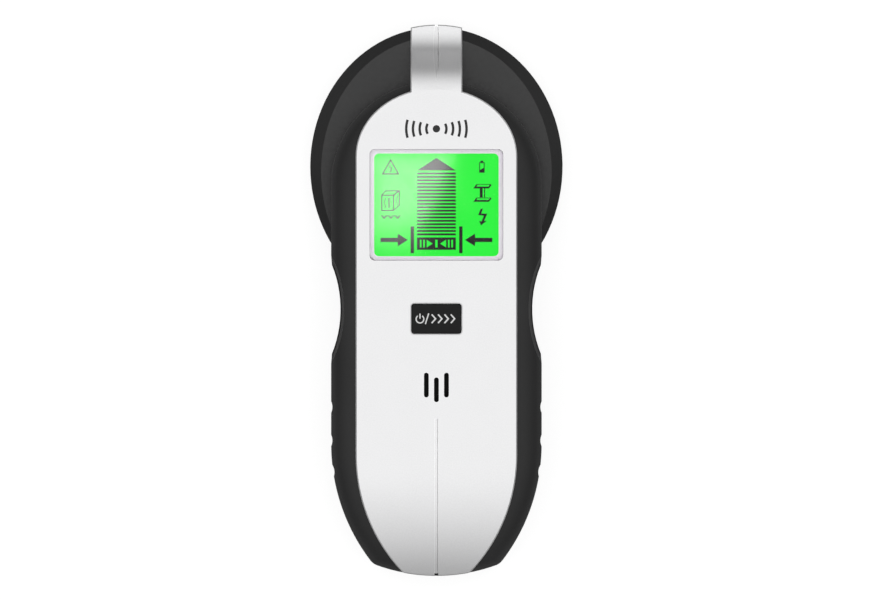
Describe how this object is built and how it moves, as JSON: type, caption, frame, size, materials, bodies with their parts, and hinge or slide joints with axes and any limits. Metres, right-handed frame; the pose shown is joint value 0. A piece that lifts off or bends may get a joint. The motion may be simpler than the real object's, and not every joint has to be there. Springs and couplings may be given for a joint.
{
  "type": "stud finder",
  "caption": "Hand-held stud finder: round sensor head, raised silver cover with display, power button and sounder slots, rubber side grips, battery bay in the back.",
  "frame": {"origin": "middle of the flat back, at the centre of the part's bounding box in X and Y", "axes": "+Y towards the round sensor head, +Z out of the display, X across the handle"},
  "size_m": [0.0758, 0.1653, 0.0306],
  "materials": {
    "silver_cover": "satin metallic paint with a very fine grain",
    "black_abs": "satin moulded black plastic",
    "grip_rubber": "soft-touch black rubber",
    "clear_lens": "clear acrylic",
    "pale_gasket": "pale grey adhesive foam",
    "lcd_glass": "backlit green liquid-crystal glass",
    "white_plastic": "satin white plastic",
    "button_plastic": "satin black key cap",
    "light_guide": "clear acrylic sheet",
    "black_plastic": "black epoxy or nylon",
    "board_green": "green solder mask",
    "copper": "enamelled copper",
    "tin_metal": "tinned metal",
    "aluminium_can": "bright aluminium",
    "screw_steel": "blackened steel",
    "battery_jacket": "plain grey battery jacket",
    "red_insulation": "red wire insulation",
    "black_insulation": "black wire insulation",
    "black_felt": "fine black dust mesh",
    "grey_foam": "dark foam",
    "zebra_rubber": "layered conductive rubber"
  },
  "bodies": {
    "housing": {"amplifier_chip": "black_plastic", "backlight_leds": "white_plastic", "battery": "battery_jacket", "battery_lead_black": "black_insulation", "battery_lead_red": "red_insulation", "battery_snap": "black_plastic", "battery_terminals": "tin_metal", "board_screws": "screw_steel", "case_screws": "screw_steel", "chip_passives": "tin_metal", "coil_former": "white_plastic", "crystal_can": "tin_metal", "display_lens": "clear_lens", "dust_mesh": "black_felt", "front_cover": "silver_cover", "front_housing": "black_abs", "header_pins": "tin_metal", "header_strip": "black_plastic", "lcd_frame": "white_plastic", "lcd_panel": "lcd_glass", "left_grip": "grip_rubber", "lens_gasket": "pale_gasket", "light_guide": "light_guide", "main_board": "board_green", "metal_coil": "copper", "microcontroller": "black_plastic", "piezo_sounder": "black_plastic", "rear_housing": "black_abs", "right_grip": "grip_rubber", "sensor_board": "board_green", "sensor_plates": "copper", "smoothing_capacitor": "aluminium_can", "tact_switch": "tin_metal", "zebra_connector": "zebra_rubber"},
    "button": {"power_button": "button_plastic"},
    "switch_plunger": {"tact_plunger": "black_plastic"},
    "door": {"battery_door": "black_abs", "door_pad": "grey_foam"}
  },
  "joints": [
    {"name": "button_press", "type": "slide", "parent": "housing", "child": "button", "axis": [0, 0, -1], "range_m": [0, 0.0005], "stiffness_N_per_m": 1500},
    {"name": "plunger_press", "type": "slide", "parent": "housing", "child": "switch_plunger", "axis": [0, 0, -1], "range_m": [0, 0.0005]},
    {"name": "door_hinge", "type": "hinge", "parent": "housing", "child": "door", "pos_m": [0, -0.01385, 0.0013], "axis": [1, 0, 0], "range_deg": [0, 75]}
  ],
  "couplings": [
    {"joint": "plunger_press", "follows": "button_press", "ratio": 1}
  ]
}
